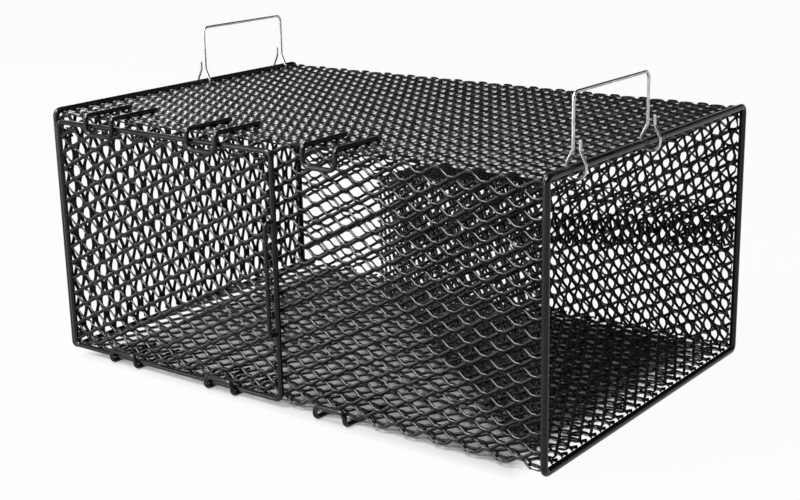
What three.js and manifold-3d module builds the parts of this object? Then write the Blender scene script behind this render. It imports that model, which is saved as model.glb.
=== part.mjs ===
import * as THREE from 'three';
import { mergeVertices } from 'three/addons/utils/BufferGeometryUtils.js';
import Module from 'manifold-3d';

// Rectangular minnow trap of vinyl dipped expanded metal, in millimetres, +Z up.
// X runs along the trap from the closed end to the funnel end, and the sliding door is on the -Y side.

const manifold = await Module();
manifold.setup();

// Overall size, between the axes of the end frames' bars
const LENGTH = 457;
const WIDTH = 293;
const HEIGHT = 199;

// Gaps: between pieces that touch, and between pieces that slide on each other
const SEAT_GAP = 0.3;
const RUNNING_GAP = 0.6;

// Coated bar and wire diameters, and the bends in them, each to the wire's axis
const BAR = 5.2;
const BAR_BEND = 4.4;
const DOOR_WIRE = 4.2;
const DOOR_BEND = 5;
const GUIDE_WIRE = 3.8;
const GUIDE_BEND = 4.5;
const GUIDE_LOOP_BEND = 6;
const PULL_WIRE = 3.2;
const PULL_BEND = 3.5;
const BAIL_WIRE = 2.2;
const BAIL_BEND = 5;
const WIRE_SIDES = 6;
const BEND_STEP = Math.PI / 6;
const LOOP_CORNER_STEPS = 2;

// Sheets: thickness, strand width, how far the top sheet lies below the top bars' axes, and the drawn pitch of
// the diamonds the long and the short way
const NET = 2.4;
const STRAND = 2.5;
const TOP_NET_DROP = 2;
const LONG_PITCH = 88;
const SHORT_PITCH = 48;
const RIM_LONG_PITCH = 40;
const RIM_SHORT_PITCH = 20;
const SMALLEST_OPENING_SHARE = 0.06;
const CUT_OVERRUN = 1;

// Sheets that meet along a lap, and the heights of the laps' middles above the lower bars' axes
const LAP = 14;
const WALL_LAP_HEIGHT = 112;
const FUNNEL_LAP_HEIGHT = 104;

// Funnel throat: a tall slot inside the trap, measured from the trap's middle and the lower bars' axes
const THROAT_X = -9;
const THROAT_WIDTH = 20;
const THROAT_LOW = 53;
const THROAT_HIGH = 144;

// Door, between its wires' axes, and the cut opening that it covers
const DOOR_LEFT_INSET = 6.5;
const DOOR_RIGHT_X = 4;
const DOOR_TOP_DROP = 7.4;
const DOOR_OVERLAP_SIDE = 9;
const DOOR_OVERLAP_RIGHT = 13;
const DOOR_OVERLAP_TOP = 9;
const DOOR_OVERLAP_BOTTOM = 9;

// Pull: a bow of wire on the door's right hand bar
const PULL_REACH = 9.5;
const PULL_LOW = 56;
const PULL_HIGH = 141;

// Guides: hairpins over the top edge and under the bottom edge of the door
const GUIDE_LEG = 49;
const TOP_GUIDE_DROP = 14.4;
const TOP_GUIDE_WIDTH = 29;
const TOP_GUIDE_X = [-169.5, -60, 52];
const BOTTOM_GUIDE_RISE = 9.5;
const BOTTOM_GUIDE_WIDTH = 27.5;
const BOTTOM_GUIDE_X = [-160.8, -55.3, 54.1];
const FLOOR_GAP = 0.1;

// Bails: an upright bow whose two legs end in an eye round the top bar
const BAIL_WIDTH = 102;
const BAIL_RISE = 48;
const BAIL_NECK_RISE = 11;
const BAIL_TIP_RISE = 18;
const BAIL_NECK_WIDTH = 5.4;
const BAIL_EYE_WIDTH = 14;
const BAIL_EYE_DROP = 7.2;
const BAIL_EYE_BEND = 6;
const BAIL_NECK_BEND = 3;

// From the long walls' bars to the nearest leg: the left bail from the back one, the right from the front
const LEFT_BAIL_INSET = 21.5;
const RIGHT_BAIL_INSET = 36.5;

// Places that follow from the sizes, with Z from the frames' undersides
const axisX = LENGTH / 2;
const axisY = WIDTH / 2;
const lowZ = BAR / 2;
const highZ = lowZ + HEIGHT;
const netEndX = axisX - BAR / 2 - SEAT_GAP;
const guideLegLowZ = FLOOR_GAP + GUIDE_WIRE / 2;
const bottomNetZ = FLOOR_GAP + GUIDE_WIRE + SEAT_GAP + NET / 2;
const topNetZ = highZ - TOP_NET_DROP;
const netClear = NET / 2 + SEAT_GAP;
const lapStep = NET + SEAT_GAP;
const doorY = -(axisY + NET / 2 + RUNNING_GAP + DOOR_WIRE / 2);
const guideY = doorY - DOOR_WIRE / 2 - RUNNING_GAP - GUIDE_WIRE / 2;
const doorLeftX = -(axisX - DOOR_LEFT_INSET);
const doorLowZ = guideLegLowZ + GUIDE_WIRE / 2 + SEAT_GAP + DOOR_WIRE / 2;
const doorHighZ = highZ - DOOR_TOP_DROP;
const openLeftX = doorLeftX + DOOR_OVERLAP_SIDE;
const openRightX = DOOR_RIGHT_X - DOOR_OVERLAP_RIGHT;
const openLowZ = doorLowZ + DOOR_OVERLAP_BOTTOM;
const openHighZ = doorHighZ - DOOR_OVERLAP_TOP;
const wallLapZ = lowZ + WALL_LAP_HEIGHT;
const funnelLapZ = lowZ + FUNNEL_LAP_HEIGHT;
const leftBailY = axisY - LEFT_BAIL_INSET - BAIL_WIDTH / 2;
const rightBailY = RIGHT_BAIL_INSET + BAIL_WIDTH / 2 - axisY;

const vinyl = { color: 0x17161a, roughness: 0.42, metalness: 0 };
const zinc = { color: 0xa9a9a8, roughness: 0.35, metalness: 0.9 };

const trap = new THREE.Group();

function addPiece(name, geometry, finish) {
  const mesh = new THREE.Mesh(geometry, new THREE.MeshStandardMaterial(finish));
  mesh.name = name;
  trap.add(mesh);
  return mesh;
}

// Joins and cuts

function toManifold(geometry) {
  const bare = geometry.clone();
  bare.deleteAttribute('normal');
  bare.deleteAttribute('uv');
  const merged = mergeVertices(bare);
  return new manifold.Manifold(new manifold.Mesh({
    numProp: 3,
    vertProperties: new Float32Array(merged.attributes.position.array),
    triVerts: new Uint32Array(merged.index.array),
  }));
}

function fromManifold(solid) {
  const { vertProperties, triVerts } = solid.getMesh();
  const geometry = new THREE.BufferGeometry();
  geometry.setAttribute('position', new THREE.BufferAttribute(vertProperties, 3));
  geometry.setIndex(new THREE.BufferAttribute(triVerts, 1));
  geometry.computeVertexNormals();
  return geometry;
}

// Bends and wires

function corner(x, y, z, bend = 0) {
  return { at: new THREE.Vector3(x, y, z), bend };
}

// Stations along a wire that turns each corner on its own bend radius
function bentWire(corners) {
  const stations = [];
  corners.forEach(({ at, bend }, i) => {
    if (i === 0 || i === corners.length - 1) {
      stations.push(at.clone());
      return;
    }
    const back = corners[i - 1].at.clone().sub(at).normalize();
    const onward = corners[i + 1].at.clone().sub(at).normalize();
    const half = back.angleTo(onward) / 2;
    const turn = Math.PI - 2 * half;
    const steps = Math.max(2, Math.round(turn / BEND_STEP));
    const centre = back.clone().add(onward).setLength(bend / Math.sin(half)).add(at);
    const first = back.clone().multiplyScalar(bend / Math.tan(half)).add(at).sub(centre);
    const last = onward.clone().multiplyScalar(bend / Math.tan(half)).add(at).sub(centre);
    for (let step = 0; step <= steps; step += 1) {
      const angle = turn * step / steps;
      const spoke = first.clone().multiplyScalar(Math.sin(turn - angle) / Math.sin(turn));
      spoke.addScaledVector(last, Math.sin(angle) / Math.sin(turn));
      stations.push(spoke.add(centre));
    }
  });
  return stations;
}

// A wire's centre line, which steps only at its stations
class WireLine extends THREE.Curve {
  constructor(stations) {
    super();
    this.stations = stations;
  }

  getPointAt(share) {
    const last = this.stations.length - 1;
    return this.stations[Math.round(share * last)].clone();
  }

  getTangentAt(share) {
    const last = this.stations.length - 1;
    const here = Math.round(share * last);
    const tangent = new THREE.Vector3();
    if (here > 0) {
      tangent.add(this.stations[here].clone().sub(this.stations[here - 1]).normalize());
    }
    if (here < last) {
      tangent.add(this.stations[here + 1].clone().sub(this.stations[here]).normalize());
    }
    return tangent.normalize();
  }
}

// A many sided section whose flats stand one diameter apart
function wireSection(diameter) {
  const radius = diameter / 2 / Math.cos(Math.PI / WIRE_SIDES);
  const points = [];
  for (let side = 0; side < WIRE_SIDES; side += 1) {
    const angle = 2 * Math.PI * (side + 0.5) / WIRE_SIDES;
    points.push(new THREE.Vector2(radius * Math.cos(angle), radius * Math.sin(angle)));
  }
  return new THREE.Shape(points);
}

function addWire(name, corners, diameter, finish) {
  const stations = bentWire(corners);
  const geometry = new THREE.ExtrudeGeometry(wireSection(diameter), {
    steps: stations.length - 1,
    extrudePath: new WireLine(stations),
    bevelEnabled: false,
  });
  return addPiece(name, geometry, finish);
}

// Closed loops of bar

function roundedOutline(path, width, height, bend) {
  const x = width / 2 - bend;
  const y = height / 2 - bend;
  path.absarc(x, y, bend, 0, Math.PI / 2);
  path.absarc(-x, y, bend, Math.PI / 2, Math.PI);
  path.absarc(-x, -y, bend, Math.PI, Math.PI * 3 / 2);
  path.absarc(x, -y, bend, Math.PI * 3 / 2, Math.PI * 2);
  path.closePath();
  return path;
}

// A rectangular loop of round bar: a bevelled ring, whose section is a regular octagon
function barLoop(width, height, bar, bend) {
  const bevel = bar / (2 + Math.SQRT2);
  const flat = bar - 2 * bevel;
  const ring = roundedOutline(new THREE.Shape(), width + flat, height + flat, bend + flat / 2);
  ring.holes.push(roundedOutline(new THREE.Path(), width - flat, height - flat, bend - flat / 2));
  const geometry = new THREE.ExtrudeGeometry(ring, {
    depth: flat,
    curveSegments: LOOP_CORNER_STEPS,
    bevelSize: bevel,
    bevelThickness: bevel,
    bevelSegments: 1,
  });
  return geometry.translate(0, 0, -flat / 2);
}

// Expanded metal sheets

// The same convex outline, anticlockwise, with every side moved in
function insetOutline(points, distance) {
  return points.map((point, i) => {
    const back = points[(i + points.length - 1) % points.length].clone().sub(point).normalize();
    const onward = points[(i + 1) % points.length].clone().sub(point).normalize();
    const sine = onward.cross(back);
    return point.clone().addScaledVector(onward, distance / sine).addScaledVector(back, distance / sine);
  });
}

// What is left of a polygon inside a convex anticlockwise outline
function clipPolygon(polygon, outline) {
  let kept = polygon;
  outline.forEach((start, i) => {
    const side = outline[(i + 1) % outline.length].clone().sub(start);
    const inside = (point) => side.cross(point.clone().sub(start));
    const next = [];
    kept.forEach((point, j) => {
      const after = kept[(j + 1) % kept.length];
      const here = inside(point);
      const there = inside(after);
      if (here >= 0) {
        next.push(point);
      }
      if (here * there < 0) {
        next.push(point.clone().lerp(after, here / (here - there)));
      }
    });
    kept = next;
  });
  return kept;
}

// Shapes given a thickness, half of it on either side of their plane
function slab(shapes, thickness) {
  const geometry = new THREE.ExtrudeGeometry(shapes, { depth: thickness, bevelEnabled: false });
  return geometry.translate(0, 0, -thickness / 2);
}

// A sheet with diamond openings, whole inside it and cut by a strand's width at its edges
function netGeometry(outline, longPitch, shortPitch, phase) {
  const box = new THREE.Box2().setFromPoints(outline);
  const size = box.getSize(new THREE.Vector2());
  const columns = Math.max(1, Math.round(2 * size.x / longPitch));
  const rows = Math.max(1, Math.round(2 * size.y / shortPitch));
  const halfLong = size.x / columns;
  const halfShort = size.y / rows;
  const sideDistance = halfLong * halfShort / Math.hypot(halfLong, halfShort);
  const openShare = 1 - STRAND / 2 / sideDistance;
  const smallest = 2 * halfLong * halfShort * SMALLEST_OPENING_SHARE;
  const rim = insetOutline(outline, STRAND);
  const openings = [];
  for (let column = 0; column <= columns; column += 1) {
    for (let row = 0; row <= rows; row += 1) {
      if ((column + row + phase) % 2 === 1) {
        const centre = new THREE.Vector2(column * halfLong, row * halfShort).add(box.min);
        const diamond = [
          new THREE.Vector2(centre.x + halfLong * openShare, centre.y),
          new THREE.Vector2(centre.x, centre.y + halfShort * openShare),
          new THREE.Vector2(centre.x - halfLong * openShare, centre.y),
          new THREE.Vector2(centre.x, centre.y - halfShort * openShare),
        ];
        const opening = clipPolygon(diamond, rim);
        if (opening.length > 2 && THREE.ShapeUtils.area(opening) > smallest) {
          openings.push(new THREE.Shape(opening));
        }
      }
    }
  }
  const sheet = toManifold(slab([new THREE.Shape(outline)], NET));
  return fromManifold(sheet.subtract(toManifold(slab(openings, NET + 2 * CUT_OVERRUN))));
}

// A flat sheet through the given corners in space, trimmed along every edge, whose diamonds' long way
// runs along the first edge unless another way is given
function addNet(name, corners, options = {}) {
  const { trim = 0, shift = 0, phase = 0, longPitch = LONG_PITCH, shortPitch = SHORT_PITCH } = options;
  const origin = new THREE.Vector3();
  corners.forEach((point) => origin.addScaledVector(point, 1 / corners.length));
  const firstEdge = corners[1].clone().sub(corners[0]);
  const along = (options.longWay ?? firstEdge).clone().normalize();
  const normal = firstEdge.cross(corners[2].clone().sub(corners[1])).normalize();
  const across = normal.clone().cross(along);
  const flat = corners.map((point) => {
    const arm = point.clone().sub(origin);
    return new THREE.Vector2(arm.dot(along), arm.dot(across));
  });
  const geometry = netGeometry(insetOutline(flat, trim), longPitch, shortPitch, phase);
  const mesh = addPiece(name, geometry, vinyl);
  mesh.quaternion.setFromRotationMatrix(new THREE.Matrix4().makeBasis(along, across, normal));
  mesh.position.copy(origin).addScaledVector(normal, shift);
  return mesh;
}

function point(x, y, z) {
  return new THREE.Vector3(x, y, z);
}

// End frames: loops of bar that carry the sheets and the bails

function addEndFrame(name, x) {
  const mesh = addPiece(name, barLoop(WIDTH, HEIGHT, BAR, BAR_BEND), vinyl);
  mesh.rotation.set(Math.PI / 2, Math.PI / 2, 0);
  mesh.position.set(x, 0, lowZ + HEIGHT / 2);
}

addEndFrame('left_end_frame', -axisX);
addEndFrame('right_end_frame', axisX);

// Gap at the straight sides that lets a square sheet clear a loop's rounded inside corners
function cornerGap(wire, bend) {
  const inside = bend - wire / 2;
  return inside - (inside - SEAT_GAP) / Math.SQRT2;
}

// Closed end: a flat sheet inside the left frame
const endInset = BAR / 2 + cornerGap(BAR, BAR_BEND);
addNet('left_end_mesh', [
  point(-axisX, -axisY + endInset, lowZ + endInset),
  point(-axisX, axisY - endInset, lowZ + endInset),
  point(-axisX, axisY - endInset, highZ - endInset),
  point(-axisX, -axisY + endInset, highZ - endInset),
], { phase: 1 });

// Wrapper: top, bottom, back and front walls between the two frames
const bottomEdgeZ = bottomNetZ - NET / 2;
const topEdgeZ = topNetZ + NET / 2;

addNet('top_mesh', [
  point(-netEndX, -axisY + netClear, topNetZ),
  point(netEndX, -axisY + netClear, topNetZ),
  point(netEndX, axisY - netClear, topNetZ),
  point(-netEndX, axisY - netClear, topNetZ),
]);
addNet('bottom_mesh', [
  point(-netEndX, -axisY + netClear, bottomNetZ),
  point(netEndX, -axisY + netClear, bottomNetZ),
  point(netEndX, axisY + lapStep - netClear, bottomNetZ),
  point(-netEndX, axisY + lapStep - netClear, bottomNetZ),
]);

// An upright sheet parallel to the long walls
function addWall(name, y, leftX, rightX, lowEdge, highEdge, options) {
  return addNet(name, [
    point(leftX, y, lowEdge),
    point(rightX, y, lowEdge),
    point(rightX, y, highEdge),
    point(leftX, y, highEdge),
  ], options);
}

addWall('back_mesh_lower', axisY + lapStep, -netEndX, netEndX, bottomEdgeZ, wallLapZ + LAP / 2);
addWall('back_mesh_upper', axisY, -netEndX, netEndX, wallLapZ - LAP / 2, topEdgeZ);

// Front wall: a full sheet beside the door's opening, and the rim left round the opening
const rimPitch = { longPitch: RIM_LONG_PITCH, shortPitch: RIM_SHORT_PITCH };
addWall('front_mesh', -axisY, openRightX, netEndX, bottomEdgeZ, topEdgeZ);
addWall('front_mesh_head', -axisY, -netEndX, openRightX - SEAT_GAP, openHighZ, topEdgeZ, rimPitch);
addWall('front_mesh_sill', -axisY, -netEndX, openRightX - SEAT_GAP, bottomEdgeZ, openLowZ, rimPitch);
addWall('front_mesh_jamb', -axisY, -netEndX, openLeftX, openLowZ + SEAT_GAP, openHighZ - SEAT_GAP, rimPitch);

// Funnel: four sloping sheets from the right frame's opening to the throat
const mouthX = axisX - BAR / 2;
const mouthY = axisY - NET - SEAT_GAP;
const mouthLowZ = bottomNetZ + NET + SEAT_GAP;
const mouthHighZ = topNetZ - NET - SEAT_GAP;
const throatY = THROAT_WIDTH / 2;
const throatLowZ = lowZ + THROAT_LOW;
const throatHighZ = lowZ + THROAT_HIGH;

addNet('funnel_top_mesh', [
  point(mouthX, -mouthY, mouthHighZ),
  point(mouthX, mouthY, mouthHighZ),
  point(THROAT_X, throatY, throatHighZ),
  point(THROAT_X, -throatY, throatHighZ),
], { trim: netClear });
addNet('funnel_bottom_mesh', [
  point(mouthX, mouthY, mouthLowZ),
  point(mouthX, -mouthY, mouthLowZ),
  point(THROAT_X, -throatY, throatLowZ),
  point(THROAT_X, throatY, throatLowZ),
], { trim: netClear });
addNet('funnel_front_mesh', [
  point(mouthX, -mouthY, mouthLowZ),
  point(mouthX, -mouthY, mouthHighZ),
  point(THROAT_X, -throatY, throatHighZ),
  point(THROAT_X, -throatY, throatLowZ),
], { trim: netClear, longWay: point(THROAT_X - mouthX, mouthY - throatY, 0) });

// The funnel's back side is two sheets, the lower one lapped inside the upper one
addNet('funnel_back_mesh_upper', [
  point(mouthX, mouthY, funnelLapZ - LAP / 2),
  point(THROAT_X, throatY, funnelLapZ - LAP / 2),
  point(THROAT_X, throatY, throatHighZ),
  point(mouthX, mouthY, mouthHighZ),
], { trim: netClear });
addNet('funnel_back_mesh_lower', [
  point(THROAT_X, throatY, funnelLapZ + LAP / 2),
  point(mouthX, mouthY, funnelLapZ + LAP / 2),
  point(mouthX, mouthY, mouthLowZ),
  point(THROAT_X, throatY, throatLowZ),
], { trim: netClear, shift: -lapStep });

// Door: a loop of wire filled with mesh, and its pull

const doorWidth = DOOR_RIGHT_X - doorLeftX;
const doorHeight = doorHighZ - doorLowZ;
const doorFrame = addPiece('door_frame', barLoop(doorWidth, doorHeight, DOOR_WIRE, DOOR_BEND), vinyl);
doorFrame.rotation.x = Math.PI / 2;
doorFrame.position.set(doorLeftX + doorWidth / 2, doorY, doorLowZ + doorHeight / 2);

const doorInset = DOOR_WIRE / 2 + cornerGap(DOOR_WIRE, DOOR_BEND);
addWall(
  'door_mesh',
  doorY,
  doorLeftX + doorInset,
  DOOR_RIGHT_X - doorInset,
  doorLowZ + doorInset,
  doorHighZ - doorInset,
);

const pullSeatY = doorY - DOOR_WIRE / 2 - SEAT_GAP;
const pullY = doorY - PULL_REACH;
addWire('door_pull', [
  corner(DOOR_RIGHT_X, pullSeatY, lowZ + PULL_LOW),
  corner(DOOR_RIGHT_X, pullY, lowZ + PULL_LOW, PULL_BEND),
  corner(DOOR_RIGHT_X, pullY, lowZ + PULL_HIGH, PULL_BEND),
  corner(DOOR_RIGHT_X, pullSeatY, lowZ + PULL_HIGH),
], PULL_WIRE, vinyl);

// Guides: hairpins whose legs lie on a sheet and whose loops stand in front of the door

function addGuide(name, x, width, legZ, loopZ) {
  const left = x - width / 2;
  const right = x + width / 2;
  const legEndY = guideY + GUIDE_LEG;
  addWire(name, [
    corner(left, legEndY, legZ),
    corner(left, guideY, legZ, GUIDE_BEND),
    corner(left, guideY, loopZ, Math.min(GUIDE_LOOP_BEND, Math.abs(loopZ - legZ) - GUIDE_BEND - SEAT_GAP)),
    corner(right, guideY, loopZ, Math.min(GUIDE_LOOP_BEND, Math.abs(loopZ - legZ) - GUIDE_BEND - SEAT_GAP)),
    corner(right, guideY, legZ, GUIDE_BEND),
    corner(right, legEndY, legZ),
  ], GUIDE_WIRE, vinyl);
}

const topGuideZ = topNetZ + netClear + GUIDE_WIRE / 2;
TOP_GUIDE_X.forEach((x, i) => {
  addGuide(`top_guide_${i + 1}`, x, TOP_GUIDE_WIDTH, topGuideZ, topGuideZ - TOP_GUIDE_DROP);
});
BOTTOM_GUIDE_X.forEach((x, i) => {
  const loopZ = guideLegLowZ + BOTTOM_GUIDE_RISE;
  addGuide(`bottom_guide_${i + 1}`, x, BOTTOM_GUIDE_WIDTH, guideLegLowZ, loopZ);
});

// Bails: each leg passes inside its bar, under it and up the outside to a short tip

// Corners of one leg in the plane across the bar, from its tip to the bow's corner
function legCorners(barX, y, outward) {
  const neck = outward * BAIL_NECK_WIDTH / 2;
  const eye = outward * BAIL_EYE_WIDTH / 2;
  const eyeRise = BAIL_NECK_RISE - (BAIL_EYE_WIDTH - BAIL_NECK_WIDTH);
  return [
    corner(barX + neck, y, highZ + BAIL_TIP_RISE),
    corner(barX + neck, y, highZ + BAIL_NECK_RISE, BAIL_NECK_BEND),
    corner(barX + eye, y, highZ + eyeRise, BAIL_NECK_BEND),
    corner(barX + eye, y, highZ - BAIL_EYE_DROP, BAIL_EYE_BEND),
    corner(barX - eye, y, highZ - BAIL_EYE_DROP, BAIL_EYE_BEND),
    corner(barX - eye, y, highZ + eyeRise, BAIL_NECK_BEND),
    corner(barX - neck, y, highZ + BAIL_NECK_RISE, BAIL_NECK_BEND),
    corner(barX - neck, y, highZ + BAIL_RISE, BAIL_BEND),
  ];
}

function addBail(name, barX, y) {
  const outward = Math.sign(barX);
  const near = legCorners(barX, y - BAIL_WIDTH / 2, outward);
  const far = legCorners(barX, y + BAIL_WIDTH / 2, outward);
  addWire(name, [...near, ...far.reverse()], BAIL_WIRE, zinc);
}

addBail('left_bail', -axisX, leftBailY);
addBail('right_bail', axisX, rightBailY);

// Slots in the sheets beside the bars, only as large as the turning eyes need
function cutEyeSlots(name, barX, bailY) {
  const mesh = trap.getObjectByName(name);
  mesh.updateMatrix();
  const turnRadius = Math.hypot(BAIL_EYE_WIDTH, BAIL_EYE_DROP) / 2 + BAIL_WIRE;
  const innerRadius = BAIL_EYE_DROP - BAIL_WIRE / 2 - RUNNING_GAP;
  let sheet = toManifold(mesh.geometry);
  [bailY - BAIL_WIDTH / 2, bailY + BAIL_WIDTH / 2].forEach((eyeY) => {
    const ring = new THREE.Shape().absarc(0, 0, turnRadius, 0, Math.PI * 2);
    ring.holes.push(new THREE.Path().absarc(0, 0, innerRadius, 0, Math.PI * 2));
    const slot = slab([ring], BAIL_WIRE + 2 * SEAT_GAP);
    slot.rotateX(Math.PI / 2).translate(barX, eyeY, highZ);
    slot.applyMatrix4(mesh.matrix.clone().invert());
    sheet = sheet.subtract(toManifold(slot));
  });
  mesh.geometry = fromManifold(sheet);
}

cutEyeSlots('top_mesh', -axisX, leftBailY);
cutEyeSlots('left_end_mesh', -axisX, leftBailY);
cutEyeSlots('top_mesh', axisX, rightBailY);
cutEyeSlots('funnel_top_mesh', axisX, rightBailY);

// The origin is under the middle of the whole trap's box, at the level that it stands on
trap.updateMatrixWorld(true);
const bounds = new THREE.Box3().setFromObject(trap);
const middle = bounds.getCenter(new THREE.Vector3());
trap.position.set(-middle.x, -middle.y, -bounds.min.z);

export default trap;
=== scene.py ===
import math

import bmesh
import bpy
from mathutils import Matrix, Vector


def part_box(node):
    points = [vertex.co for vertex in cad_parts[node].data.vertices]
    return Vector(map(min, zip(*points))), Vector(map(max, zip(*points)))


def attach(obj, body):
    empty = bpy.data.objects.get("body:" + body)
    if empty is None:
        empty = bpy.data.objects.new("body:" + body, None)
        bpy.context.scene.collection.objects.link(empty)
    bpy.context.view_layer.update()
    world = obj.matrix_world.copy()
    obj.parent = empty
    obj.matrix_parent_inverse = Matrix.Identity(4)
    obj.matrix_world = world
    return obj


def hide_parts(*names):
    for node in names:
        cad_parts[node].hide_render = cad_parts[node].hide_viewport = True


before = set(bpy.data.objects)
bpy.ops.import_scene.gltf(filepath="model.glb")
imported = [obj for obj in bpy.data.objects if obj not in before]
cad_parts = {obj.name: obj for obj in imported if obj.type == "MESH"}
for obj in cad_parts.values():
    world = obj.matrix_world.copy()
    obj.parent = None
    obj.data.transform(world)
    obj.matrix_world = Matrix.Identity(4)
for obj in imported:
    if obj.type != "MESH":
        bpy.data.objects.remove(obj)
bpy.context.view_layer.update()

# Camera. A long lens in front of the door and to the right of it, a little above the trap. It is placed
# from the middle of the two end frames, at the height of their lower bars, and it rolls slightly, as one
# held by hand does.
PHOTO_WIDTH_PX = 800
LENS_PX = 1440.36
SENSOR = 36.0
CAMERA_FROM_TRAP = Vector((0.6779, -0.8944, 0.3988))
LOOK = Vector((-0.57955, 0.76867, -0.27072))
UP = Vector((-0.14710, 0.22807, 0.96248))

left_low, left_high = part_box("left_end_frame")
right_low, right_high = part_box("right_end_frame")
BAR = left_high.x - left_low.x
left_x = (left_low.x + left_high.x) / 2
right_x = (right_low.x + right_high.x) / 2
trap_y = (left_low.y + left_high.y) / 2
front_y = left_low.y + BAR / 2
back_y = left_high.y - BAR / 2
low_z = left_low.z + BAR / 2
high_z = left_high.z - BAR / 2

camera = bpy.data.objects.new("camera", bpy.data.cameras.new("camera"))
bpy.context.scene.collection.objects.link(camera)
camera.data.sensor_width = SENSOR
camera.data.lens = LENS_PX / PHOTO_WIDTH_PX * SENSOR
camera.location = Vector((0, trap_y, low_z)) + CAMERA_FROM_TRAP
camera_right = LOOK.cross(UP).normalized()
camera_up = camera_right.cross(LOOK).normalized()
camera.rotation_euler = Matrix((camera_right, camera_up, -LOOK)).transposed().to_euler()
bpy.context.scene.camera = camera

# Studio. A large pale floor with a painted shadow: its glow is turned down in a box round the trap's
# footprint, so there it shows mostly its darker matt colour, which the lamps shade for real. A broad soft
# light above the front, and weaker ones from the left and from low in front. The white round the trap is the
# world's and the floor's own glow. Polished metal sees that white too, near the horizon and below it.
FLOOR_SIZE = 30.0
FLOOR_COLOUR = (0.22, 0.22, 0.22, 1)
FLOOR_GLOW_SHARE = 0.96
# Painted shadow under the trap: the glow share there, the box's half length and half width, and its soft
# edge.
SHADE_GLOW_SHARE = 0.04
SHADE_HALF_LENGTH = 0.19
SHADE_HALF_WIDTH = 0.137
SHADE_EDGE = 0.025
WHITE = (1, 1, 1, 1)
ROOM_LIGHT = 0.02
BACKDROP_FULL_RISE = 0.05
BACKDROP_END_RISE = 0.35
FRONT_SOFTBOX = ((-0.35, -0.95, 1.6), 0.8, 108)
LEFT_SOFTBOX = ((-1.7, 0.6, 0.7), 1.0, 18)
STANDING_SOFTBOX = ((-0.75, -1.35, 0.42), 0.8, 15)
LAMP_AIM = Vector((0, 0, 0.1))


def new_material(name):
    material = bpy.data.materials.new(name)
    material.use_nodes = True
    material.node_tree.nodes.clear()
    return material, material.node_tree


def add(tree, kind, **settings):
    node = tree.nodes.new(kind)
    for key, value in settings.items():
        setattr(node, key, value)
    return node


def join(tree, source, output, target, socket):
    tree.links.new(source.outputs[output], target.inputs[socket])


def maths(tree, operation, *inputs):
    """The output of one sum. Each input is a number or another node's output."""
    node = add(tree, "ShaderNodeMath", operation=operation)
    for i, value in enumerate(inputs):
        if isinstance(value, (int, float)):
            node.inputs[i].default_value = value
        else:
            tree.links.new(value, node.inputs[i])
    return node.outputs[0]


def map_range(tree, source, from_low, from_high, to_low, to_high):
    spread = add(tree, "ShaderNodeMapRange")
    spread.inputs["From Min"].default_value = from_low
    spread.inputs["From Max"].default_value = from_high
    spread.inputs["To Min"].default_value = to_low
    spread.inputs["To Max"].default_value = to_high
    tree.links.new(source, spread.inputs["Value"])
    return spread.outputs[0]


floor_material, tree = new_material("pale_floor")
output = add(tree, "ShaderNodeOutputMaterial")
matt = add(tree, "ShaderNodeBsdfDiffuse")
matt.inputs["Color"].default_value = FLOOR_COLOUR
glow = add(tree, "ShaderNodeEmission")
mix = add(tree, "ShaderNodeMixShader")
path = add(tree, "ShaderNodeLightPath").outputs
ground = add(tree, "ShaderNodeTexCoord")
spot = add(tree, "ShaderNodeSeparateXYZ")
join(tree, ground, "Object", spot, 0)
# Painted shadow: the glow share falls from FLOOR_GLOW_SHARE to SHADE_GLOW_SHARE inside a box round the trap.
off_length = maths(tree, "ABSOLUTE", spot.outputs["X"])
off_width = maths(tree, "ABSOLUTE", maths(tree, "SUBTRACT", spot.outputs["Y"], trap_y))
past_length = maths(tree, "SUBTRACT", off_length, SHADE_HALF_LENGTH)
past_width = maths(tree, "SUBTRACT", off_width, SHADE_HALF_WIDTH)
past_shade = maths(tree, "MAXIMUM", past_length, past_width)
glow_here = map_range(tree, past_shade, 0.0, SHADE_EDGE, SHADE_GLOW_SHARE, FLOOR_GLOW_SHARE)
seen = maths(tree, "MAXIMUM", path["Is Camera Ray"], path["Is Transmission Ray"])
seen_or_mirrored = maths(tree, "MAXIMUM", seen, path["Is Glossy Ray"])
tree.links.new(maths(tree, "MULTIPLY", seen_or_mirrored, glow_here), mix.inputs[0])
join(tree, matt, 0, mix, 1)
join(tree, glow, 0, mix, 2)
join(tree, mix, 0, output, 0)

floor_mesh = bpy.data.meshes.new("floor")
half = FLOOR_SIZE / 2
floor_corners = [(-half, -half, 0), (half, -half, 0), (half, half, 0), (-half, half, 0)]
floor_mesh.from_pydata(floor_corners, [], [(0, 1, 2, 3)])
floor = bpy.data.objects.new("floor", floor_mesh)
bpy.context.scene.collection.objects.link(floor)
floor_mesh.materials.append(floor_material)

world = bpy.data.worlds.new("white_studio")
world.use_nodes = True
bpy.context.scene.world = world
tree = world.node_tree
tree.nodes.clear()
output = add(tree, "ShaderNodeOutputWorld")
lighting = add(tree, "ShaderNodeBackground")
lighting.inputs["Color"].default_value = WHITE
lighting.inputs["Strength"].default_value = ROOM_LIGHT
backdrop = add(tree, "ShaderNodeBackground")
backdrop.inputs["Color"].default_value = WHITE
mix = add(tree, "ShaderNodeMixShader")
path = add(tree, "ShaderNodeLightPath").outputs
direction = add(tree, "ShaderNodeTexCoord")
rise = add(tree, "ShaderNodeSeparateXYZ")
join(tree, direction, "Generated", rise, 0)
backdrop_share = map_range(tree, rise.outputs["Z"], BACKDROP_END_RISE, BACKDROP_FULL_RISE, 0.0, 1.0)
mirrored = maths(tree, "MULTIPLY", backdrop_share, path["Is Glossy Ray"])
seen = maths(tree, "MAXIMUM", path["Is Camera Ray"], path["Is Transmission Ray"])
tree.links.new(maths(tree, "MAXIMUM", seen, mirrored), mix.inputs[0])
join(tree, lighting, 0, mix, 1)
join(tree, backdrop, 0, mix, 2)
join(tree, mix, 0, output, 0)

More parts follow.
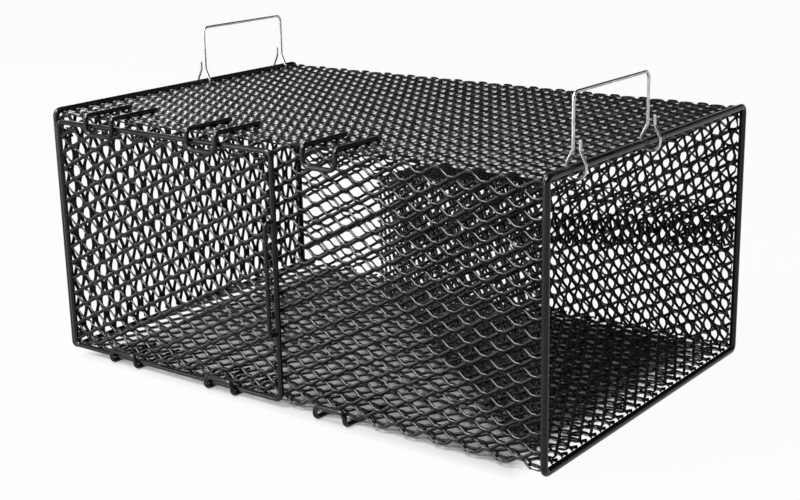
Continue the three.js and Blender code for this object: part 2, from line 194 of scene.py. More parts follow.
lights = (
    ("front_softbox", FRONT_SOFTBOX),
    ("left_softbox", LEFT_SOFTBOX),
    ("standing_softbox", STANDING_SOFTBOX),
)
for name, (place, size, power) in lights:
    light = bpy.data.lights.new(name, "AREA")
    light.size = size
    light.energy = power
    lamp = bpy.data.objects.new(name, light)
    bpy.context.scene.collection.objects.link(lamp)
    lamp.location = place
    lamp.rotation_euler = (LAMP_AIM - Vector(place)).to_track_quat("-Z", "Y").to_euler()

bpy.context.scene.view_settings.view_transform = "Standard"

# Black vinyl dip. The whole trap is welded bare and dipped in soft black vinyl, which sets satin, pools a
# little and rounds every edge. It is near black with faint dust, and its gloss is uneven at hand scale.
VINYL_COLOUR = (0.0026, 0.0019, 0.0022, 1)
VINYL_DUST_COLOUR = (0.0054, 0.0044, 0.0049, 1)
VINYL_ROUGHNESS = (0.2, 0.32)
VINYL_SPECULAR = 0.27
VINYL_RIPPLE = 0.00022
RIPPLE_STRENGTH_SHARE = 0.6
RIPPLE_SCALE = 420
RIPPLE_DETAIL = 2
DUST_SCALE = 55
DUST_SHARE = 0.6
PATCH_DETAIL = 4
NOISE_LOW = 0.3
NOISE_HIGH = 0.7


def fractal_noise(tree, scale, detail):
    place = add(tree, "ShaderNodeTexCoord")
    noise = add(tree, "ShaderNodeTexNoise")
    noise.inputs["Scale"].default_value = scale
    noise.inputs["Detail"].default_value = detail
    join(tree, place, "Object", noise, "Vector")
    return noise.outputs[0]


def patchy_finish(name, colours, colour_share, roughness, scale):
    """A finish whose colour and gloss drift together between two values. Gives the material, its tree and
    its shader."""
    material, tree = new_material(name)
    output = add(tree, "ShaderNodeOutputMaterial")
    surface = add(tree, "ShaderNodeBsdfPrincipled")
    patches = fractal_noise(tree, scale, PATCH_DETAIL)
    colour = add(tree, "ShaderNodeMix", data_type="RGBA")
    colour.inputs[6].default_value, colour.inputs[7].default_value = colours
    mixing = map_range(tree, patches, NOISE_LOW, NOISE_HIGH, 0.0, colour_share)
    tree.links.new(mixing, colour.inputs[0])
    tree.links.new(colour.outputs[2], surface.inputs["Base Color"])
    gloss = map_range(tree, patches, NOISE_LOW, NOISE_HIGH, *roughness)
    tree.links.new(gloss, surface.inputs["Roughness"])
    join(tree, surface, 0, output, 0)
    return material, tree, surface


vinyl, tree, surface = patchy_finish(
    "black_vinyl_dip", (VINYL_COLOUR, VINYL_DUST_COLOUR), DUST_SHARE, VINYL_ROUGHNESS, DUST_SCALE)
surface.inputs["Specular IOR Level"].default_value = VINYL_SPECULAR
bump = add(tree, "ShaderNodeBump")
bump.inputs["Distance"].default_value = VINYL_RIPPLE
bump.inputs["Strength"].default_value = RIPPLE_STRENGTH_SHARE
tree.links.new(fractal_noise(tree, RIPPLE_SCALE, RIPPLE_DETAIL), bump.inputs["Height"])
join(tree, bump, 0, surface, "Normal")

# Zinc on the bails. Bare galvanised wire, drawn and cold bent, bright where it is new and slightly grey
# where the coat is thick.
ZINC_COLOUR = (0.6, 0.6, 0.605, 1)
ZINC_DULL_COLOUR = (0.38, 0.38, 0.39, 1)
ZINC_ROUGHNESS = (0.2, 0.42)
ZINC_SCALE = 180

zinc, tree, surface = patchy_finish(
    "galvanised_wire", (ZINC_COLOUR, ZINC_DULL_COLOUR), 1.0, ZINC_ROUGHNESS, ZINC_SCALE)
surface.inputs["Metallic"].default_value = 1.0

# End frames. Two loops of round bar, bent at the corners and butt welded, which carry the sheets and stand
# on the ground. Every bar and wire of the trap is made by the same tree, which fillets the corners of a path
# and sweeps a round section along it.
WIRE_FACETS = 20
BEND_POINTS = 8
BAR_BEND = 0.0044
SIDE_WALL_CORNERS = 4
ROUND_STEPS = 4
ROUND_SHARE = 0.5


def group_input(tree, name, kind):
    return tree.interface.new_socket(name, in_out="INPUT", socket_type=kind)


def wire_tree():
    """A path filleted by its own bend attribute and swept with a round section."""
    tree = bpy.data.node_groups.new("bent wire", "GeometryNodeTree")
    group_input(tree, "Path", "NodeSocketGeometry")
    group_input(tree, "Diameter", "NodeSocketFloat")
    group_input(tree, "Facets", "NodeSocketInt")
    group_input(tree, "Bend points", "NodeSocketInt")
    group_input(tree, "Finish", "NodeSocketMaterial")
    tree.interface.new_socket("Wire", in_out="OUTPUT", socket_type="NodeSocketGeometry")
    given = add(tree, "NodeGroupInput")
    result = add(tree, "NodeGroupOutput")
    curve = add(tree, "GeometryNodeMeshToCurve")
    bend = add(tree, "GeometryNodeInputNamedAttribute", data_type="FLOAT")
    bend.inputs["Name"].default_value = "bend"
    fillet = add(tree, "GeometryNodeFilletCurve", mode="POLY")
    fillet.inputs["Limit Radius"].default_value = True
    section = add(tree, "GeometryNodeCurvePrimitiveCircle")
    sweep = add(tree, "GeometryNodeCurveToMesh")
    sweep.inputs["Fill Caps"].default_value = True
    solid = add(tree, "GeometryNodeRealizeInstances")
    finish = add(tree, "GeometryNodeSetMaterial")
    join(tree, given, "Path", curve, "Mesh")
    join(tree, curve, "Curve", fillet, "Curve")
    join(tree, given, "Bend points", fillet, "Count")
    join(tree, bend, "Attribute", fillet, "Radius")
    join(tree, given, "Facets", section, "Resolution")
    tree.links.new(maths(tree, "MULTIPLY", given.outputs["Diameter"], 0.5), section.inputs["Radius"])
    join(tree, fillet, "Curve", sweep, "Curve")
    join(tree, section, "Curve", sweep, "Profile Curve")
    join(tree, sweep, "Mesh", solid, "Geometry")
    join(tree, solid, "Geometry", finish, "Geometry")
    join(tree, given, "Finish", finish, "Material")
    join(tree, finish, "Geometry", result, "Wire")
    return tree


WIRE_TREE = wire_tree()


def set_input(modifier, name, value):
    """Sets one of a tree's inputs by the identifier of its socket."""
    for item in modifier.node_group.interface.items_tree:
        if item.name == name and item.in_out == "INPUT":
            modifier[item.identifier] = value


def baked(name, mesh, tree, inputs):
    """A plain mesh object made from a seed mesh by a tree with these inputs."""
    seed = bpy.data.objects.new(name + "_seed", mesh)
    bpy.context.scene.collection.objects.link(seed)
    modifier = seed.modifiers.new("tree", "NODES")
    modifier.node_group = tree
    for key, value in inputs.items():
        set_input(modifier, key, value)
    evaluated = seed.evaluated_get(bpy.context.evaluated_depsgraph_get())
    result = bpy.data.meshes.new_from_object(evaluated)
    bpy.data.objects.remove(seed)
    bpy.data.meshes.remove(mesh)
    return result


def add_piece(name, mesh, body, nodes):
    """A finished piece that stands for these nodes and moves with the body."""
    mesh.name = name
    piece = bpy.data.objects.new(name, mesh)
    bpy.context.scene.collection.objects.link(piece)
    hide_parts(*nodes)
    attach(piece, body)


def round_ends(mesh, radius):
    """The flat ends of a cut wire, rounded over by its coat or its shear burr."""
    shape = bmesh.new()
    shape.from_mesh(mesh)
    ends = [face for face in shape.faces if len(face.verts) > SIDE_WALL_CORNERS]
    rims = [edge for face in ends for edge in face.edges]
    bmesh.ops.bevel(
        shape, geom=rims, offset=radius, segments=ROUND_STEPS, profile=ROUND_SHARE, affect="EDGES")
    shape.to_mesh(mesh)
    shape.free()


def bent_wire(name, corners, diameter, body, slot, nodes, closed=False, end_radius=0.0):
    """corners: (point, bend radius to the wire's axis), one for each end and corner."""
    count = len(corners)
    edges = [(i, (i + 1) % count) for i in range(count if closed else count - 1)]
    path = bpy.data.meshes.new(name)
    path.from_pydata([point for point, _ in corners], edges, [])
    bends = path.attributes.new("bend", "FLOAT", "POINT")
    bends.data.foreach_set("value", [bend for _, bend in corners])
    mesh = baked(name, path, WIRE_TREE, {
        "Diameter": diameter,
        "Facets": WIRE_FACETS,
        "Bend points": BEND_POINTS,
        "Finish": vinyl if slot == "vinyl_coat" else zinc,
    })
    if end_radius:
        round_ends(mesh, end_radius)
    mesh.shade_smooth()
    add_piece(name, mesh, body, nodes)


for side, x in (("left", left_x), ("right", right_x)):
    bent_wire(f"{side}_end_loop", [
        (Vector((x, front_y, low_z)), BAR_BEND),
        (Vector((x, back_y, low_z)), BAR_BEND),
        (Vector((x, back_y, high_z)), BAR_BEND),
        (Vector((x, front_y, high_z)), BAR_BEND),
    ], BAR, "trap", "vinyl_coat", [f"{side}_end_frame"], closed=True)

# Door. A loop of lighter coated wire that the door's sheet is welded into. It slides to the right between
# the front wall and the guides. A bow of wire on its right hand bar is the pull.
DOOR_BEND = 0.005
PULL_WIRE = 0.0032
PULL_BEND = 0.0035
PULL_SEAT = 0.0006

door_low, door_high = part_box("door_frame")
DOOR_WIRE = door_high.y - door_low.y
door_y = (door_low.y + door_high.y) / 2
door_left = door_low.x + DOOR_WIRE / 2
door_right = door_high.x - DOOR_WIRE / 2
door_bottom = door_low.z + DOOR_WIRE / 2
door_top = door_high.z - DOOR_WIRE / 2

bent_wire("door_loop", [
    (Vector((door_left, door_y, door_bottom)), DOOR_BEND),
    (Vector((door_right, door_y, door_bottom)), DOOR_BEND),
    (Vector((door_right, door_y, door_top)), DOOR_BEND),
    (Vector((door_left, door_y, door_top)), DOOR_BEND),
], DOOR_WIRE, "door", "vinyl_coat", ["door_frame"], closed=True)

pull_low, pull_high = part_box("door_pull")
pull_y = pull_low.y + PULL_WIRE / 2
pull_bottom = pull_low.z + PULL_WIRE / 2
pull_top = pull_high.z - PULL_WIRE / 2
pull_seat_y = pull_high.y + PULL_SEAT
bent_wire("door_pull_bow", [
    (Vector((door_right, pull_seat_y, pull_bottom)), 0),
    (Vector((door_right, pull_y, pull_bottom)), PULL_BEND),
    (Vector((door_right, pull_y, pull_top)), PULL_BEND),
    (Vector((door_right, pull_seat_y, pull_top)), 0),
], PULL_WIRE, "door", "vinyl_coat", ["door_pull"])

# Guides. Hairpins of coated wire: the legs are welded to the top or bottom sheet, and the loop stands in
# front of the door's edge and keeps it against the front wall.
GUIDE_BEND = 0.0045
GUIDE_LOOP_BEND = 0.006
GUIDE_WIRE = 0.0038
GUIDE_TIP = 0.0012
GUIDES_ON_AN_EDGE = 3
CAD_WIRE_SIDES = 6

for place in ("top", "bottom"):
    for number in range(1, GUIDES_ON_AN_EDGE + 1):
        node = f"{place}_guide_{number}"
        low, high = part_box(node)
        half_wire = GUIDE_WIRE / 2
        x_slack = half_wire / math.cos(math.pi / CAD_WIRE_SIDES)
        left, right = low.x + x_slack, high.x - x_slack
        front, leg_end = low.y + half_wire, high.y
        leg_z = high.z - half_wire if place == "top" else low.z + half_wire
        loop_z = low.z + half_wire if place == "top" else high.z - half_wire
        loop_bend = min(GUIDE_LOOP_BEND, abs(loop_z - leg_z) - GUIDE_BEND)
        bent_wire(f"{place}_hairpin_{number}", [
            (Vector((left, leg_end, leg_z)), 0),
            (Vector((left, front, leg_z)), GUIDE_BEND),
            (Vector((left, front, loop_z)), loop_bend),
            (Vector((right, front, loop_z)), loop_bend),
            (Vector((right, front, leg_z)), GUIDE_BEND),
            (Vector((right, leg_end, leg_z)), 0),
        ], GUIDE_WIRE, "trap", "vinyl_coat", [node], end_radius=GUIDE_TIP)

# Bails. A bow of galvanised wire on each top bar: each leg passes inside the bar, under it and up the
# outside, and closes on itself in a short upright tip, so that the eye turns freely on the bar.
BAIL_WIRE = 0.0022
BAIL_WIDTH = 0.102
BAIL_RISE = 0.048
BAIL_BEND = 0.005
BAIL_NECK_RISE = 0.011
BAIL_NECK_WIDTH = 0.0054
BAIL_NECK_BEND = 0.003
BAIL_TIP_RISE = 0.018
BAIL_EYE_WIDTH = 0.014
BAIL_EYE_DROP = 0.0072
BAIL_EYE_BEND = 0.006
BAIL_BURR = 0.0003


def bail_leg(bar_x, y, outward):
    """From the tip, under the bar and up to the bow. outward is 1 or -1, the end's direction along X."""
    neck = outward * BAIL_NECK_WIDTH / 2
    eye = outward * BAIL_EYE_WIDTH / 2
    eye_rise = BAIL_NECK_RISE - (BAIL_EYE_WIDTH - BAIL_NECK_WIDTH)
    return [
        (Vector((bar_x + neck, y, high_z + BAIL_TIP_RISE)), 0),
        (Vector((bar_x + neck, y, high_z + BAIL_NECK_RISE)), BAIL_NECK_BEND),
        (Vector((bar_x + eye, y, high_z + eye_rise)), BAIL_NECK_BEND),
        (Vector((bar_x + eye, y, high_z - BAIL_EYE_DROP)), BAIL_EYE_BEND),
        (Vector((bar_x - eye, y, high_z - BAIL_EYE_DROP)), BAIL_EYE_BEND),
        (Vector((bar_x - eye, y, high_z + eye_rise)), BAIL_NECK_BEND),
        (Vector((bar_x - neck, y, high_z + BAIL_NECK_RISE)), BAIL_NECK_BEND),
        (Vector((bar_x - neck, y, high_z + BAIL_RISE)), BAIL_BEND),
    ]


eyes = {}
for side, bar_x, outward in (("left", left_x, -1), ("right", right_x, 1)):
    node = f"{side}_bail"
    low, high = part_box(node)
    middle = (low.y + high.y) / 2
    eyes[side] = [middle - BAIL_WIDTH / 2, middle + BAIL_WIDTH / 2]
    near = bail_leg(bar_x, eyes[side][0], outward)
    far = bail_leg(bar_x, eyes[side][1], outward)
    bent_wire(
        f"{side}_bail_bow", near + far[::-1], BAIL_WIRE, node, "zinc_wire", [node], end_radius=BAIL_BURR)

# Expanded metal, and the top and front walls. Steel sheet is slit in staggered rows and pulled open the
# short way, which turns each strand on edge, so that all strands and the bonds where they meet lean one
# way. One sheet, folded along the top front edge and sheared out for the door, makes the top and the front.
WALL_MESH = {
    "long": 0.0259,
    "short": 0.0131,
    "width": 0.0027,
    "thickness": 0.0017,
    "bond": 0.0040,
    "crotch": 0.0010,
}
FUNNEL_MESH = {
    "long": 0.0160,
    "short": 0.0078,
    "width": 0.0021,
    "thickness": 0.0013,
    "bond": 0.0026,
    "crotch": 0.0006,
}
LEAN = math.radians(45)
EDGE_FLAT_SHARE = 0.8
FACE_FLAT_SHARE = 0.6
CURVE_RUN_SHARE = 0.42
CURVE_RISE_SHARE = 0.30
CURVE_TURN_SHARE = 0.6
UPPER_CROTCH = (3, 4)
LOWER_CROTCH = (0, 7)
WELD = 0.00002
CUT_SNAP = 0.000005
SEAT = 0.0009
WALL_INSET = 0.0011
FOLD_RADIUS = 0.003
FOLD_BOND_X = 0.1695
TOP_SEAM = 0.008
EYE_SLOT = 0.0022
SMALLEST_PIECE = 150
X, Y, Z = Vector((1, 0, 0)), Vector((0, 1, 0)), Vector((0, 0, 1))


def bond_mesh(kind):
    """One bond and its four half strands, leaning towards +Y, open where they meet the next bonds'. The
    section has eight corners. Two of them meet another strand's in the crotch beside the bond."""
    across = Vector((0, math.cos(LEAN), math.sin(LEAN)))
    through = Vector((0, -math.sin(LEAN), math.cos(LEAN)))
    edge = kind["width"] / 2
    face = kind["thickness"] / 2
    flat_edge = face * EDGE_FLAT_SHARE
    flat_face = edge * FACE_FLAT_SHARE
    outline = (
        (edge, flat_edge), (flat_face, face), (-flat_face, face), (-edge, flat_edge),
        (-edge, -flat_edge), (-flat_face, -face), (flat_face, -face), (edge, -flat_edge),
    )
    sides = len(outline)
    points, faces = [], []

    def section(centre, width_way, thick_way):
        first = len(points)
        for width, thick in outline:
            points.append(centre + width_way * width + thick_way * thick)
        return [first + i for i in range(sides)]

    def tube(start, end):
        for i in range(sides):
            j = (i + 1) % sides
            faces.append([start[i], start[j], end[j], end[i]])

    roots = {}
    for x_sign in (-1, 1):
        for y_sign, crotch in ((-1, LOWER_CROTCH), (1, UPPER_CROTCH)):
            root_centre = Vector((x_sign * kind["bond"] / 2, 0, 0)) + across * y_sign * edge
            root = section(root_centre, across, through)
            middle = Vector((x_sign * kind["long"] / 4, y_sign * kind["short"] / 4, 0))
            run = (middle - root_centre).normalized()
            width_way = (across - run * across.dot(run)).normalized()
            thick_way = run.cross(width_way)
            if thick_way.z < 0:
                thick_way = -thick_way
            mid = section(middle, width_way, thick_way)
            bent_centre = root_centre.lerp(middle, CURVE_RISE_SHARE)
            bent_centre.x = root_centre.x + (middle.x - root_centre.x) * CURVE_RUN_SHARE
            bent_width = across.lerp(width_way, CURVE_TURN_SHARE).normalized()
            bent_thick = through.lerp(thick_way, CURVE_TURN_SHARE).normalized()
            bent = section(bent_centre, bent_width, bent_thick)
            tube(root, bent)
            tube(bent, mid)
            for corner in crotch:
                points[root[corner]] += Vector((x_sign * kind["crotch"], 0, 0))
            roots[x_sign, y_sign] = root
    for y_sign, crotch in ((-1, LOWER_CROTCH), (1, UPPER_CROTCH)):
        left, right = roots[-1, y_sign], roots[1, y_sign]
        for i in range(sides):
            j = (i + 1) % sides
            if i not in crotch and j not in crotch:
                faces.append([left[i], left[j], right[j], right[i]])
    for x_sign in (-1, 1):
        upper, lower = roots[x_sign, 1], roots[x_sign, -1]
        faces.append([upper[3], upper[2], lower[1]])
        faces.append([upper[4], upper[5], lower[6]])
    faces.append([roots[-1, 1][2], roots[1, 1][2], roots[1, -1][1], roots[-1, -1][1]])
    faces.append([roots[-1, 1][5], roots[1, 1][5], roots[1, -1][6], roots[-1, -1][6]])
    mesh = bpy.data.meshes.new("bond")
    mesh.from_pydata(points, [], faces)
    shape = bmesh.new()
    shape.from_mesh(mesh)
    bmesh.ops.remove_doubles(shape, verts=shape.verts, dist=WELD)
    bmesh.ops.recalc_face_normals(shape, faces=shape.faces)
    shape.to_mesh(mesh)
    shape.free()
    return mesh


def lattice_tree():
    """A bond on every second point of a grid, each welded to the next where their half strands meet."""
    tree = bpy.data.node_groups.new("expanded metal", "GeometryNodeTree")
    group_input(tree, "Seed", "NodeSocketGeometry")
    group_input(tree, "Bond", "NodeSocketObject")
    group_input(tree, "Long way", "NodeSocketFloat")
    group_input(tree, "Short way", "NodeSocketFloat")
    group_input(tree, "Columns", "NodeSocketInt")
    group_input(tree, "Rows", "NodeSocketInt")
    group_input(tree, "Weld", "NodeSocketFloat")
    group_input(tree, "Finish", "NodeSocketMaterial")
    tree.interface.new_socket("Sheet", in_out="OUTPUT", socket_type="NodeSocketGeometry")
    given = add(tree, "NodeGroupInput")
    result = add(tree, "NodeGroupOutput")

    columns, rows = given.outputs["Columns"], given.outputs["Rows"]
    width = maths(tree, "MULTIPLY", maths(tree, "MULTIPLY", columns, given.outputs["Long way"]), 0.5)
    height = maths(tree, "MULTIPLY", maths(tree, "MULTIPLY", rows, given.outputs["Short way"]), 0.5)
    row_points = maths(tree, "ADD", rows, 1)
    grid = add(tree, "GeometryNodeMeshGrid")
    tree.links.new(width, grid.inputs["Size X"])
    tree.links.new(height, grid.inputs["Size Y"])
    tree.links.new(maths(tree, "ADD", columns, 1), grid.inputs["Vertices X"])
    tree.links.new(row_points, grid.inputs["Vertices Y"])
    index = add(tree, "GeometryNodeInputIndex").outputs[0]
    column = maths(tree, "FLOOR", maths(tree, "DIVIDE", maths(tree, "ADD", index, 0.5), row_points))
    row = maths(tree, "SUBTRACT", index, maths(tree, "MULTIPLY", column, row_points))
    on_bond = maths(tree, "LESS_THAN", maths(tree, "MODULO", maths(tree, "ADD", column, row), 2), 0.5)
    bond = add(tree, "GeometryNodeObjectInfo")
    place = add(tree, "GeometryNodeInstanceOnPoints")
    solid = add(tree, "GeometryNodeRealizeInstances")
    weld = add(tree, "GeometryNodeMergeByDistance")
    sheet = add(tree, "GeometryNodeRealizeInstances")
    finish = add(tree, "GeometryNodeSetMaterial")
    join(tree, given, "Bond", bond, "Object")
    join(tree, grid, "Mesh", place, "Points")
    join(tree, bond, "Geometry", place, "Instance")
    tree.links.new(on_bond, place.inputs["Selection"])
    join(tree, place, "Instances", solid, "Geometry")
    join(tree, solid, "Geometry", weld, "Geometry")
    join(tree, given, "Weld", weld, "Distance")
    join(tree, weld, "Geometry", sheet, "Geometry")
    join(tree, sheet, "Geometry", finish, "Geometry")
    join(tree, given, "Finish", finish, "Material")
    join(tree, finish, "Geometry", result, "Sheet")
    return tree


LATTICE_TREE = lattice_tree()
for kind in (WALL_MESH, FUNNEL_MESH):
    kind["pattern"] = bpy.data.objects.new("bond", bond_mesh(kind))
    bpy.context.scene.collection.objects.link(kind["pattern"])


def close_cuts(shape):
    """Fills each strand that a cut has opened with one flat face."""
    open_edges = [edge for edge in shape.edges if edge.is_boundary]
    filled = bmesh.ops.holes_fill(shape, edges=open_edges, sides=0)
    for face in filled["faces"]:
        face.smooth = False


def shear(shape, point, outward):
    """Cuts the sheet along a line and takes off what lies on the outward side."""
    geometry = list(shape.verts) + list(shape.edges) + list(shape.faces)
    bmesh.ops.bisect_plane(
        shape, geom=geometry, dist=CUT_SNAP, plane_co=point, plane_no=outward, clear_outer=True)
    close_cuts(shape)


def punch(shape, low, high):
    """Takes a rectangle out of a flat sheet."""
    margin = WALL_MESH["long"]
    for corner, way in ((low, X), (low, Y), (high, X), (high, Y)):
        near = []
        for face in shape.faces:
            centre = face.calc_center_median()
            near_in_x = low[0] - margin < centre.x < high[0] + margin
            near_in_y = low[1] - margin < centre.y < high[1] + margin
            if near_in_x and near_in_y:
                near.append(face)
        edges = {edge for face in near for edge in face.edges}
        verts = {vert for face in near for vert in face.verts}
        bmesh.ops.bisect_plane(
            shape, geom=list(verts) + list(edges) + near, dist=CUT_SNAP,
            plane_co=Vector((corner[0], corner[1], 0)), plane_no=way)
    inside = []
    for face in shape.faces:
        centre = face.calc_center_median()
        if low[0] < centre.x < high[0] and low[1] < centre.y < high[1]:
            inside.append(face)
    bmesh.ops.delete(shape, geom=inside, context="FACES")
    close_cuts(shape)


def drop_crumbs(shape):
    """Takes out the crumbs beside a cut, which no strand holds."""
    seen = set()
    crumbs = []
    for start in shape.verts:
        if start in seen:
            continue
        island, queue = [], [start]
        seen.add(start)
        while queue:
            vert = queue.pop()
            island.append(vert)
            for edge in vert.link_edges:
                other = edge.other_vert(vert)
                if other not in seen:
                    seen.add(other)
                    queue.append(other)
        if len(island) < SMALLEST_PIECE:
            crumbs += island
    bmesh.ops.delete(shape, geom=crumbs, context="VERTS")


def flat_sheet(name, outline, bond_at, windows=(), kind=WALL_MESH):
    """A sheet in its own plane, X the long way and Y the way it leans, sheared to a convex outline that
    runs anticlockwise. A bond sits at bond_at. The windows are given by their low and high corners."""
    low = Vector((min(p[0] for p in outline), min(p[1] for p in outline)))
    high = Vector((max(p[0] for p in outline), max(p[1] for p in outline)))
    long, short = kind["long"], kind["short"]
    start = Vector((
        bond_at[0] + math.floor((low.x - bond_at[0]) / long - 1) * long,
        bond_at[1] + math.floor((low.y - bond_at[1]) / short - 1) * short,
        0))
    columns = 2 * math.ceil((high.x - start.x) / long + 1)
    rows = 2 * math.ceil((high.y - start.y) / short + 1)
    mesh = baked(name, bpy.data.meshes.new(name), LATTICE_TREE, {
        "Bond": kind["pattern"],
        "Long way": long,
        "Short way": short,
        "Columns": columns,
        "Rows": rows,
        "Weld": WELD,
        "Finish": vinyl,
    })
    shape = bmesh.new()
    shape.from_mesh(mesh)
    for face in shape.faces:
        face.smooth = True
    first_bond = Vector((-columns * long / 4, -rows * short / 4, 0))
    bmesh.ops.translate(shape, vec=start - first_bond, verts=shape.verts)
    for i, here in enumerate(outline):
        there = outline[(i + 1) % len(outline)]
        outward = Vector((there[1] - here[1], here[0] - there[0], 0)).normalized()
        shear(shape, Vector((here[0], here[1], 0)), outward)
    for window_low, window_high in windows:
        punch(shape, window_low, window_high)
    drop_crumbs(shape)
    shape.to_mesh(mesh)
    shape.free()
    return mesh


def lay(mesh, origin, along, up):
    """Puts a flat sheet in space. Its outer face looks along the cross of the two directions."""
    turn = Matrix((along, up, along.cross(up))).transposed().to_4x4()
    mesh.transform(Matrix.Translation(origin) @ turn)


top_low, top_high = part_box("top_mesh")
front_low, front_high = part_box("front_mesh")
head_low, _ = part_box("front_mesh_head")
_, sill_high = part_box("front_mesh_sill")
_, jamb_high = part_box("front_mesh_jamb")
top_z = (top_low.z + top_high.z) / 2
front_wall_y = (front_low.y + front_high.y) / 2 + WALL_INSET
net_left = top_low.x - SEAT
net_right = top_high.x + SEAT
quarter_fold = math.pi / 4 * FOLD_RADIUS


def folded(mesh):
    """Folds a flat sheet along its X axis, down on the near side and level on the far side."""
    for vertex in mesh.vertices:
        x, s, out = vertex.co
        if s <= -quarter_fold:
            vertex.co = (x, front_wall_y - out, top_z - FOLD_RADIUS + s + quarter_fold)
        elif s >= quarter_fold:
            vertex.co = (x, front_wall_y + FOLD_RADIUS + s - quarter_fold, top_z + out)
        else:
            turn = (s + quarter_fold) / FOLD_RADIUS
            reach = FOLD_RADIUS + out
            centre_y, centre_z = front_wall_y + FOLD_RADIUS, top_z - FOLD_RADIUS
            vertex.co = (x, centre_y - reach * math.cos(turn), centre_z + reach * math.sin(turn))
    return mesh


def front_s(z):
    """The flat sheet's Y where the front wall reaches this height."""
    return z - (top_z - FOLD_RADIUS) - quarter_fold


def top_s(y):
    """The flat sheet's Y where the top reaches this depth."""
    return y - (front_wall_y + FOLD_RADIUS) + quarter_fold


fold_bond = (FOLD_BOND_X, 0.0)
door_opening = (
    (jamb_high.x, front_s(sill_high.z)),
    (front_low.x, front_s(head_low.z)),
)
front_sheet = flat_sheet("front_wall", [
    (net_left, front_s(front_low.z)),
    (net_right, front_s(front_low.z)),
    (net_right, TOP_SEAM),
    (net_left, TOP_SEAM),
], fold_bond, windows=[door_opening])
front_nodes = ["front_mesh", "front_mesh_head", "front_mesh_sill", "front_mesh_jamb"]
add_piece("front_wall", folded(front_sheet), "trap", front_nodes)

top_slots = []
for side, bar_x in (("left", left_x), ("right", right_x)):
    for y in eyes[side]:
        slot_low = (bar_x - BAIL_EYE_WIDTH, top_s(y) - EYE_SLOT)
        slot_high = (bar_x + BAIL_EYE_WIDTH, top_s(y) + EYE_SLOT)
        top_slots.append((slot_low, slot_high))
top_sheet = flat_sheet("top_wall", [
    (net_left, TOP_SEAM),
    (net_right, TOP_SEAM),
    (net_right, top_s(top_high.y)),
    (net_left, top_s(top_high.y)),
], fold_bond, windows=top_slots)
add_piece("top_wall", folded(top_sheet), "trap", ["top_mesh"])

# Back wall. Two sheets spot welded where they lap at half height. They're sheared across the diamonds and
# stand a third of a diamond apart, so the lap shows as a band of cut strands.
BACK_SHIFT_SHARE = 1 / 3

for half in ("upper", "lower"):
    low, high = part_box(f"back_mesh_{half}")
    y = (low.y + high.y) / 2
    bond_x = 0.0 if half == "upper" else WALL_MESH["long"] * BACK_SHIFT_SHARE
    sheet = flat_sheet(f"back_wall_{half}", [
        (net_left, low.z),
        (net_right, low.z),
        (net_right, high.z),
        (net_left, high.z),
    ], (bond_x, high_z))
    lay(sheet, Vector((0, y, 0)), X, Z)
    add_piece(f"back_wall_{half}", sheet, "trap", [f"back_mesh_{half}"])

# Bottom. One flat sheet of the walls' mesh, welded to the lower bars of the end loops and to the lower
# edges of the two long walls.
low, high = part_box("bottom_mesh")
sheet = flat_sheet("bottom_wall", [
    (-net_right, low.y),
    (-net_left, low.y),
    (-net_left, high.y),
    (-net_right, high.y),
], (0.0, 0.0))
lay(sheet, Vector((0, 0, (low.z + high.z) / 2)), -X, Y)
add_piece("bottom_wall", sheet, "trap", ["bottom_mesh"])

# Closed end. A sheet of the walls' mesh inside the left loop, with its long way upright. It is slotted
# along its upper edge for the eyes of the left bail.
low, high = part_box("left_end_mesh")
end_slots = []
for y in eyes["left"]:
    slot_low = (-high_z - BAIL_EYE_WIDTH, -y - EYE_SLOT)
    slot_high = (-high_z + BAIL_EYE_WIDTH, -y + EYE_SLOT)
    end_slots.append((slot_low, slot_high))
sheet = flat_sheet("closed_end", [
    (-high.z, -high.y),
    (-low.z, -high.y),
    (-low.z, -low.y),
    (-high.z, -low.y),
], (-high_z, 0.0), windows=end_slots)
lay(sheet, Vector(((low.x + high.x) / 2, 0, 0)), -Z, -Y)
add_piece("closed_end", sheet, "trap", ["left_end_mesh"])

# Funnel. Four sloping sides of a finer mesh, from the open end in to a tall narrow throat, where a minnow
# finds its way in but not out. The back side is two sheets that lap, as the back wall is, and their
# diamonds lean opposite ways.
THROAT_X = -0.009
THROAT_WIDTH = 0.020
THROAT_LOW = 0.053
THROAT_HIGH = 0.144
FUNNEL_LAP_HEIGHT = 0.100
LAP = 0.026
LAP_STEP = 0.0026
NET = 0.0024
SEAT_GAP = 0.0003
FRONT_TILT = math.radians(90)
BACK_UPPER_TILT = math.radians(13)
BACK_LOWER_TILT = math.radians(-10.5)

mouth_x = right_x - BAR / 2
mouth_y = (back_y - front_y) / 2 - NET - SEAT_GAP
bottom_low, bottom_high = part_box("bottom_mesh")
mouth_low = (bottom_low.z + bottom_high.z) / 2 + NET + SEAT_GAP
mouth_high = top_z - NET - SEAT_GAP
throat_low = low_z + THROAT_LOW
throat_high = low_z + THROAT_HIGH
lap_z = low_z + FUNNEL_LAP_HEIGHT


def sloped(name, corners, bond_at, nodes):
    """A flat sheet between corners in space, given anticlockwise from outside, its long way along the first
    side."""
    origin = corners[0]
    along = (corners[1] - corners[0]).normalized()
    outward = along.cross(corners[2] - corners[1]).normalized()
    up = outward.cross(along)
    outline = [((corner - origin).dot(along), (corner - origin).dot(up)) for corner in corners]
    sheet = flat_sheet(name, outline, bond_at, kind=FUNNEL_MESH)
    lay(sheet, origin, along, up)
    add_piece(name, sheet, "trap", nodes)


def funnel_point(x, y, z):
    return Vector((x, trap_y + y, z))


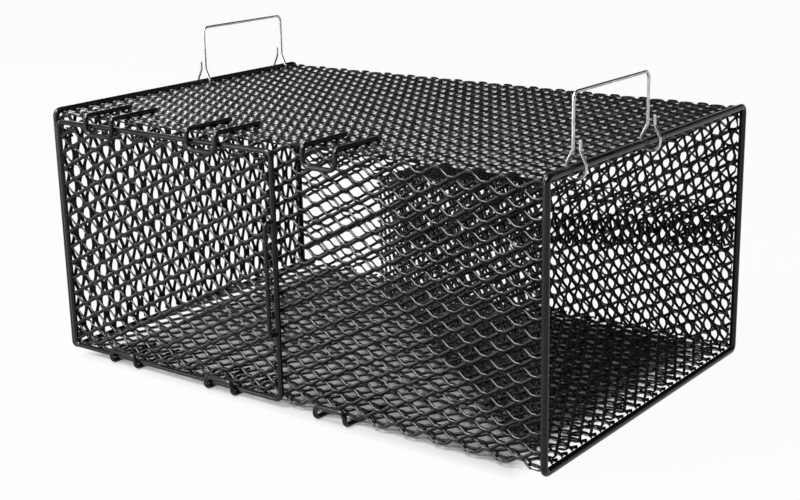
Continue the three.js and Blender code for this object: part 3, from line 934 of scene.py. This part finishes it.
half_throat = THROAT_WIDTH / 2
sloped("funnel_top", [
    funnel_point(mouth_x, -mouth_y, mouth_high),
    funnel_point(mouth_x, mouth_y, mouth_high),
    funnel_point(THROAT_X, half_throat, throat_high),
    funnel_point(THROAT_X, -half_throat, throat_high),
], (mouth_y, 0), ["funnel_top_mesh"])
sloped("funnel_bottom", [
    funnel_point(mouth_x, mouth_y, mouth_low),
    funnel_point(mouth_x, -mouth_y, mouth_low),
    funnel_point(THROAT_X, -half_throat, throat_low),
    funnel_point(THROAT_X, half_throat, throat_low),
], (mouth_y, 0), ["funnel_bottom_mesh"])


def funnel_side(name, y_sign, low_edge, high_edge, nodes, tilt, bond_at, sink=0.0):
    """low_edge and high_edge: heights at the mouth and at the throat. tilt: of the long way from upright,
    towards the mouth. sink: how far the sheet stands inside the side's plane."""
    mouth = funnel_point(mouth_x, y_sign * mouth_y, 0)
    throat = funnel_point(THROAT_X, y_sign * half_throat, 0)
    mouthward = (mouth - throat).normalized()
    length = (mouth - throat).length
    long_way = Z * math.cos(tilt) + mouthward * math.sin(tilt)
    short_way = mouthward * math.cos(tilt) - Z * math.sin(tilt)
    corners = [(0, low_edge[1]), (0, high_edge[1]), (length, high_edge[0]), (length, low_edge[0])]
    outline = []
    for reach, height in corners:
        point = mouthward * reach + Z * height
        outline.append((point.dot(long_way), point.dot(short_way)))
    sheet = flat_sheet(name, outline, bond_at, kind=FUNNEL_MESH)
    outward = Z.cross(mouthward) * y_sign
    lay(sheet, throat - outward * sink, long_way, short_way)
    add_piece(name, sheet, "trap", nodes)


funnel_side("funnel_front", -1, (mouth_low, throat_low), (mouth_high, throat_high),
            ["funnel_front_mesh"], FRONT_TILT, (0, high_z))
funnel_side("funnel_back_upper", 1, (lap_z - LAP / 2, lap_z - LAP / 2), (mouth_high, throat_high),
            ["funnel_back_mesh_upper"], BACK_UPPER_TILT, (high_z, 0))
funnel_side("funnel_back_lower", 1, (mouth_low, throat_low), (lap_z + LAP / 2, lap_z + LAP / 2),
            ["funnel_back_mesh_lower"], BACK_LOWER_TILT, (high_z, 0), sink=LAP_STEP)

# Door sheet. The walls' mesh, pressed a little flatter so that it slides clear of the wall behind it, and
# welded inside the door's loop.
DOOR_PRESS_SHARE = 0.8

low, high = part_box("door_mesh")
sheet = flat_sheet("door_sheet", [
    (low.x, low.z),
    (high.x, low.z),
    (high.x, high.z),
    (low.x, high.z),
], (0.0, high_z))
sheet.transform(Matrix.Scale(DOOR_PRESS_SHARE, 4, Z))
lay(sheet, Vector((0, (low.y + high.y) / 2, 0)), X, Z)
add_piece("door_sheet", sheet, "door", ["door_mesh"])

for kind in (WALL_MESH, FUNNEL_MESH):
    bpy.data.objects.remove(kind["pattern"])
